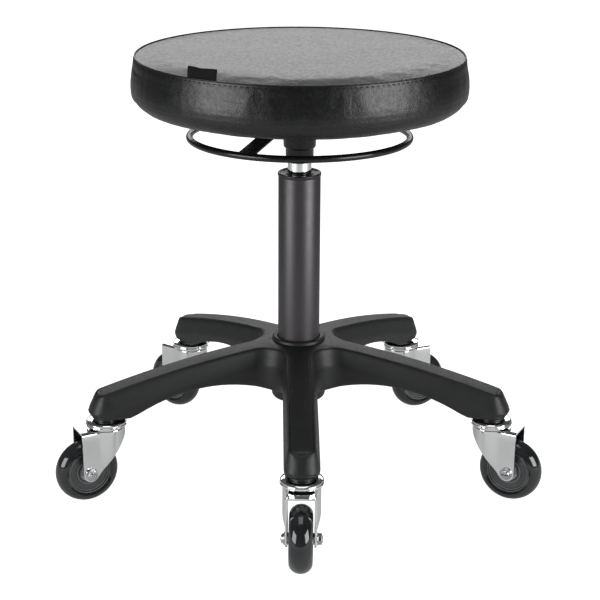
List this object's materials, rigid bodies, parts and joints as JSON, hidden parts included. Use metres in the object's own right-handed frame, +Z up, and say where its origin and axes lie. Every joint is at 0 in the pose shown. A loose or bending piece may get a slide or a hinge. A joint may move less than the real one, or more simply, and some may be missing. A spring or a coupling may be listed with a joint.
{
  "type": "pedicure stool",
  "caption": "Low round padded work stool on a gas lift, with a ring lever under the seat and a star base on swivelling roller-blade style casters.",
  "frame": {"origin": "on the floor, under the middle of the stool's bounding box", "axes": "+Z up, -Y towards the user's side with the front caster arm, +X to the right; the column axis stands 34 mm behind the origin"},
  "size_m": [0.5761, 0.5424, 0.5317],
  "materials": {
    "black_nylon": "moulded black nylon with a fine spark texture",
    "column_paint": "dark grey satin powder coat",
    "black_plastic": "black moulded plastic",
    "chrome": "bright chrome plating",
    "zinc_steel": "bright zinc-plated steel",
    "bumper_rubber": "black rubber",
    "black_steel": "black painted steel",
    "lever_paint": "gloss black powder coat",
    "dust_cloth": "black spun-bonded dust cloth",
    "woven_label": "black woven satin label, blank",
    "plywood": "bare birch plywood",
    "vinyl": "black upholstery vinyl with a fine leather grain",
    "tyre": "smoky translucent polyurethane, glossy",
    "wheel_core": "smoke-grey translucent plastic"
  },
  "bodies": {
    "stand": {"base_arm_1": "black_nylon", "base_arm_2": "black_nylon", "base_arm_3": "black_nylon", "base_arm_4": "black_nylon", "base_arm_5": "black_nylon", "column_tube": "column_paint", "column_floor": "zinc_steel", "column_guide": "black_plastic", "caster_1_stem": "chrome", "caster_2_stem": "chrome", "caster_3_stem": "chrome", "caster_4_stem": "chrome", "caster_5_stem": "chrome"},
    "rod": {"piston_rod": "zinc_steel", "thrust_bearing": "zinc_steel", "rubber_bumper": "bumper_rubber", "retaining_clip": "zinc_steel"},
    "seat": {"gas_cylinder": "chrome", "seat_socket": "black_steel", "seat_plate": "black_steel", "dust_cover": "dust_cloth", "seat_board": "plywood", "seat_cushion": "vinyl", "tag": "woven_label", "plate_bolt_1": "zinc_steel", "plate_bolt_2": "zinc_steel", "plate_bolt_3": "zinc_steel", "plate_bolt_4": "zinc_steel"},
    "lever": {"lever_ring": "lever_paint", "lever_arm_1": "lever_paint", "lever_arm_2": "lever_paint", "lever_hub": "lever_paint"},
    "button": {"release_button": "zinc_steel"},
    "fork_1": {"caster_1_fork": "chrome", "caster_1_axle": "zinc_steel"},
    "wheel_1": {"caster_1_tyre": "tyre", "caster_1_core": "wheel_core", "caster_1_bearing": "zinc_steel"},
    "fork_2": {"caster_2_fork": "chrome", "caster_2_axle": "zinc_steel"},
    "wheel_2": {"caster_2_tyre": "tyre", "caster_2_core": "wheel_core", "caster_2_bearing": "zinc_steel"},
    "fork_3": {"caster_3_fork": "chrome", "caster_3_axle": "zinc_steel"},
    "wheel_3": {"caster_3_tyre": "tyre", "caster_3_core": "wheel_core", "caster_3_bearing": "zinc_steel"},
    "fork_4": {"caster_4_fork": "chrome", "caster_4_axle": "zinc_steel"},
    "wheel_4": {"caster_4_tyre": "tyre", "caster_4_core": "wheel_core", "caster_4_bearing": "zinc_steel"},
    "fork_5": {"caster_5_fork": "chrome", "caster_5_axle": "zinc_steel"},
    "wheel_5": {"caster_5_tyre": "tyre", "caster_5_core": "wheel_core", "caster_5_bearing": "zinc_steel"}
  },
  "joints": [
    {"name": "seat_swivel", "type": "hinge", "parent": "stand", "child": "rod", "pos_m": [-0.0006, 0.0342, 0.099], "axis": [0, 0, 1], "continuous": true},
    {"name": "seat_lift", "type": "slide", "parent": "rod", "child": "seat", "axis": [0, 0, 1], "range_m": [0, 0.13]},
    {"name": "lever_tilt", "type": "hinge", "parent": "seat", "child": "lever", "pos_m": [-0.0006, 0.0542, 0.4524], "axis": [1, 0, 0], "range_deg": [0, 7], "stiffness_Nm_per_rad": 25, "springref_deg": -1.15},
    {"name": "button_press", "type": "slide", "parent": "seat", "child": "button", "axis": [0, 0, -1], "range_m": [0, 0.0028], "stiffness_N_per_m": 400},
    {"name": "caster_1_swivel", "type": "hinge", "parent": "stand", "child": "fork_1", "pos_m": [0.00149, -0.20579, 0.091], "axis": [0, 0, 1], "continuous": true},
    {"name": "caster_1_roll", "type": "hinge", "parent": "fork_1", "child": "wheel_1", "pos_m": [0.00055, -0.23277, 0.038], "axis": [0.9994, -0.0349, 0], "continuous": true},
    {"name": "caster_2_swivel", "type": "hinge", "parent": "stand", "child": "fork_2", "pos_m": [0.22829, -0.03797, 0.091], "axis": [0, 0, 1], "continuous": true},
    {"name": "caster_2_roll", "type": "hinge", "parent": "fork_2", "child": "wheel_2", "pos_m": [0.25245, -0.05002, 0.038], "axis": [0.4462, 0.8949, 0], "continuous": true},
    {"name": "caster_3_swivel", "type": "hinge", "parent": "stand", "child": "fork_3", "pos_m": [0.13877, 0.22959, 0.091], "axis": [0, 0, 1], "continuous": true},
    {"name": "caster_3_roll", "type": "hinge", "parent": "fork_3", "child": "wheel_3", "pos_m": [0.16324, 0.241, 0.038], "axis": [-0.4226, 0.9063, 0], "continuous": true},
    {"name": "caster_4_swivel", "type": "hinge", "parent": "stand", "child": "fork_4", "pos_m": [-0.14336, 0.22713, 0.091], "axis": [0, 0, 1], "continuous": true},
    {"name": "caster_4_roll", "type": "hinge", "parent": "fork_4", "child": "wheel_4", "pos_m": [-0.16501, 0.24326, 0.038], "axis": [-0.5976, -0.8018, 0], "continuous": true},
    {"name": "caster_5_swivel", "type": "hinge", "parent": "stand", "child": "fork_5", "pos_m": [-0.2282, -0.04195, 0.091], "axis": [0, 0, 1], "continuous": true},
    {"name": "caster_5_roll", "type": "hinge", "parent": "fork_5", "child": "wheel_5", "pos_m": [-0.25236, -0.054, 0.038], "axis": [0.4462, -0.8949, 0], "continuous": true}
  ],
  "couplings": [
    {"joint": "button_press", "follows": "lever_tilt", "m_per_rad": 0.0225}
  ]
}
